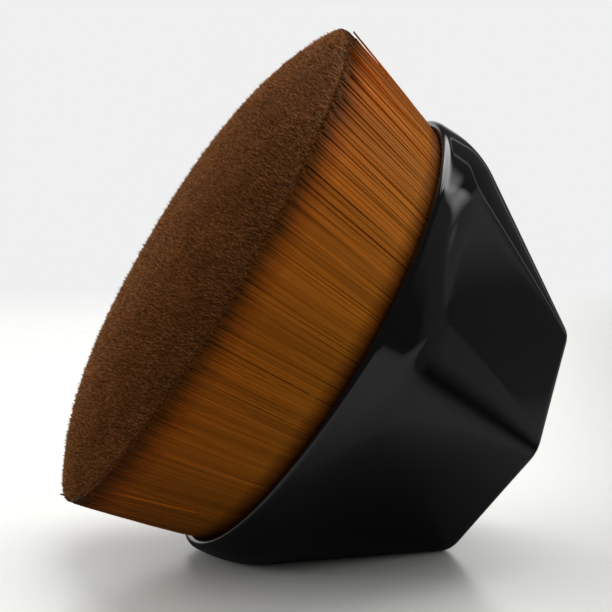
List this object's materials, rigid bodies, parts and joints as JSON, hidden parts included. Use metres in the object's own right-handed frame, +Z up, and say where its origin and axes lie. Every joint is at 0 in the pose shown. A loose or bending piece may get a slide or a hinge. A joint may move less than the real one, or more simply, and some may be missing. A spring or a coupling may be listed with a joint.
{
  "type": "makeup brush",
  "caption": "Stubby makeup brush: a dense round head of brown fibres, cut to a shallow dome, in a short glossy black handle that runs from a round collar to a hexagonal end.",
  "frame": {"origin": "middle of the handle's flat that the brush lies on, on the ground", "axes": "+Z up; the brush's axis leans up towards -X at 31 degrees, bristles at -X and the hexagonal end at +X; -Y is the side that the picture shows"},
  "size_m": [0.0429, 0.0462, 0.0443],
  "materials": {
    "gloss_black_abs": "polished moulding, near mirror",
    "drawn_aluminium": "plain drawn, satin",
    "clear_glue": "set glue, cloudy",
    "amber_epoxy": "cast resin",
    "waxed_cotton": "twisted thread",
    "brown_fibre": "fine synthetic fibre, silky along its length"
  },
  "bodies": {
    "root": {"handle_shell": "gloss_black_abs", "hair_cup": "drawn_aluminium", "glue_pad": "clear_glue", "root_resin": "amber_epoxy", "binding_thread": "waxed_cotton", "bristle_head": "brown_fibre"}
  },
  "joints": []
}
